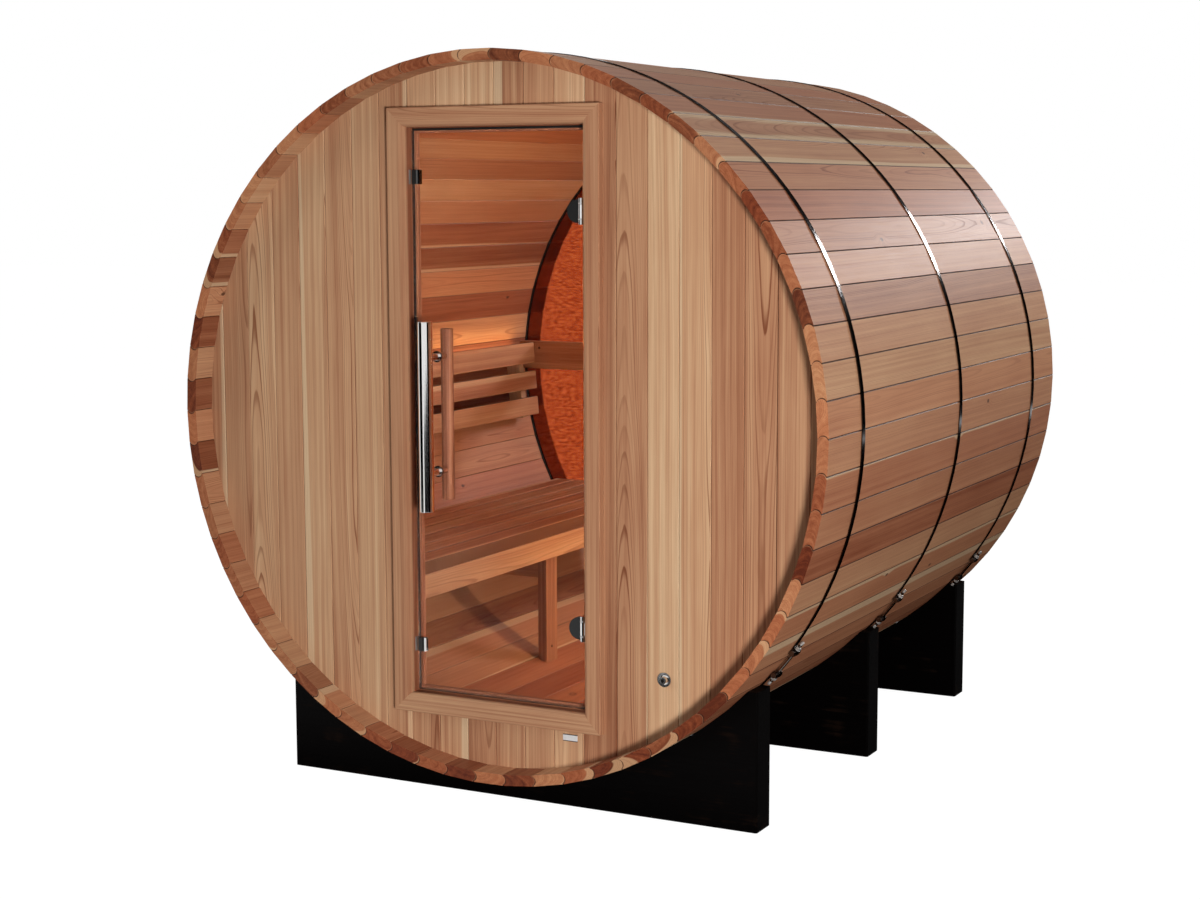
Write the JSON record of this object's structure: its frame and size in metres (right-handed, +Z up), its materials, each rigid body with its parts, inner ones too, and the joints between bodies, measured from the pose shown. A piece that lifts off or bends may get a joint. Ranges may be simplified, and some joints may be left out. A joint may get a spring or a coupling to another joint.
{
  "type": "barrel sauna",
  "caption": "Round wooden barrel sauna on black saddle cradles, with steel hoops, a hinged clear glass door, a bronze glass rear window and a slatted bench inside.",
  "frame": {"origin": "on the ground under the middle of the barrel, at the bottom centre of the whole object", "axes": "+X across the barrel to the right seen from the door, +Y along the barrel from the door to the rear window, +Z up"},
  "size_m": [1.8344, 1.89, 1.9043],
  "materials": {
    "stave_cedar": "oiled softwood staves",
    "wall_cedar": "planed softwood boards",
    "trim_cedar": "planed softwood moulding",
    "bench_cedar": "sanded softwood slats",
    "rubber_seal": "black glazing rubber",
    "painted_timber": "black painted timber",
    "hoop_steel": "bright stainless band",
    "bright_steel": "stainless fittings",
    "chrome": "polished",
    "black_metal": "satin black",
    "clear_glass": "clear safety glass",
    "bronze_glass": "bronze textured glass",
    "grip_wood": "turned and oiled",
    "light_diffuser": "warm white diffuser"
  },
  "bodies": {
    "sauna": {"staves_right_upper": "stave_cedar", "staves_roof": "stave_cedar", "staves_left_upper": "stave_cedar", "staves_left_lower": "stave_cedar", "staves_floor": "stave_cedar", "staves_right_lower": "stave_cedar", "front_wall_left": "wall_cedar", "front_wall_right": "wall_cedar", "front_wall_over_door": "wall_cedar", "front_wall_under_door": "wall_cedar", "door_jamb_left": "trim_cedar", "door_jamb_right": "trim_cedar", "door_head": "trim_cedar", "door_sill": "trim_cedar", "trim_left": "trim_cedar", "trim_right": "trim_cedar", "trim_top": "trim_cedar", "trim_bottom": "trim_cedar", "bench_slats": "bench_cedar", "bench_apron": "bench_cedar", "bench_bearers": "bench_cedar", "bench_leg": "bench_cedar", "backrest_slats": "bench_cedar", "backrest_battens": "bench_cedar", "window_rail_inside": "bench_cedar", "window_rail_outside": "bench_cedar", "window_channel": "rubber_seal", "cradle_front": "painted_timber", "cradle_middle": "painted_timber", "cradle_rear": "painted_timber", "hoop_front": "hoop_steel", "hoop_middle": "hoop_steel", "hoop_rear": "hoop_steel", "hoop_tensioners": "bright_steel", "hinge_leaves": "chrome", "catch_plates": "chrome", "cable_outlet": "chrome", "window_pane_upper": "bronze_glass", "window_pane_lower": "bronze_glass", "light_strip": "light_diffuser"},
    "door": {"door_glass": "clear_glass", "hinge_clamps": "black_metal", "catch_clips": "chrome", "handle_tube": "chrome", "handle_grip": "grip_wood", "handle_standoffs": "chrome", "grip_spacers": "grip_wood"}
  },
  "joints": [
    {"name": "door_hinge", "type": "hinge", "parent": "sauna", "child": "door", "pos_m": [0.243, -0.875, 0.987], "axis": [0, 0, 1], "range_deg": [0, 110]}
  ]
}
